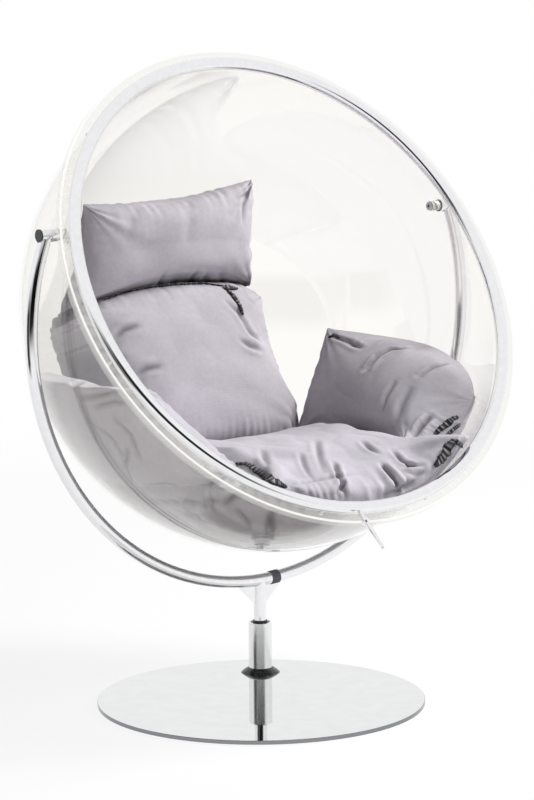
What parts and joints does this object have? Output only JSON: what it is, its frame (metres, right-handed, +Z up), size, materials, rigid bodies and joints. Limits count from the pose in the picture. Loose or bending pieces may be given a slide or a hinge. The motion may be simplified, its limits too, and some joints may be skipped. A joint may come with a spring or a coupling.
{
  "type": "bubble chair",
  "caption": "Clear dome seat with cushions, hung at two side pivots in a bent tube yoke that turns on a short post in a round base.",
  "frame": {"origin": "on the floor under the post's axis, on the lower face of the mat under the base plate", "axes": "+Z up along the post, -Y the way the seat faces, X along the line of the two side pivots"},
  "size_m": [1.1074, 0.9616, 1.2761],
  "materials": {
    "polished_steel": "polished",
    "plain_steel": "satin",
    "clear_acrylic": "clear, polished",
    "black_plastic": "satin",
    "pale_plastic": "matte",
    "rubber": "matte",
    "cushion_fabric": "soft woven"
  },
  "bodies": {
    "base": {"base_plate": "polished_steel", "floor_mat": "rubber", "post_sleeve": "polished_steel", "collar": "black_plastic", "base_screws": "plain_steel", "lower_bush": "pale_plastic", "upper_bush": "black_plastic", "thrust_washer": "pale_plastic", "retaining_screw": "plain_steel"},
    "yoke": {"spindle": "polished_steel", "spindle_plug": "plain_steel", "yoke_tube": "polished_steel", "gusset_left": "polished_steel", "gusset_right": "polished_steel", "yoke_bumper": "rubber", "pivot_hub_left": "polished_steel", "pivot_hub_right": "polished_steel", "inner_bush_left": "black_plastic", "inner_bush_right": "black_plastic", "outer_bush_left": "black_plastic", "outer_bush_right": "black_plastic", "end_cap_left": "black_plastic", "end_cap_right": "black_plastic"},
    "bubble": {"dome": "clear_acrylic", "ring_tube": "polished_steel", "ring_screws": "plain_steel", "handle_bar": "polished_steel", "pivot_bolt_left": "plain_steel", "pivot_bolt_right": "plain_steel", "outer_pad_left": "pale_plastic", "outer_pad_right": "pale_plastic", "inner_pad_left": "pale_plastic", "inner_pad_right": "pale_plastic", "lock_nut_left": "polished_steel", "lock_nut_right": "polished_steel", "friction_washer_left": "pale_plastic", "friction_washer_right": "pale_plastic", "head_pillow": "cushion_fabric", "back_cushion": "cushion_fabric", "seat_cushion": "cushion_fabric", "arm_cushion_left": "cushion_fabric", "arm_cushion_right": "cushion_fabric"}
  },
  "joints": [
    {"name": "swivel", "type": "hinge", "parent": "base", "child": "yoke", "pos_m": [0, 0, 0.1], "axis": [0, 0, 1], "continuous": true},
    {"name": "tilt", "type": "hinge", "parent": "yoke", "child": "bubble", "pos_m": [0, 0, 0.942], "axis": [1, 0, 0], "range_deg": [-25, 15]}
  ]
}
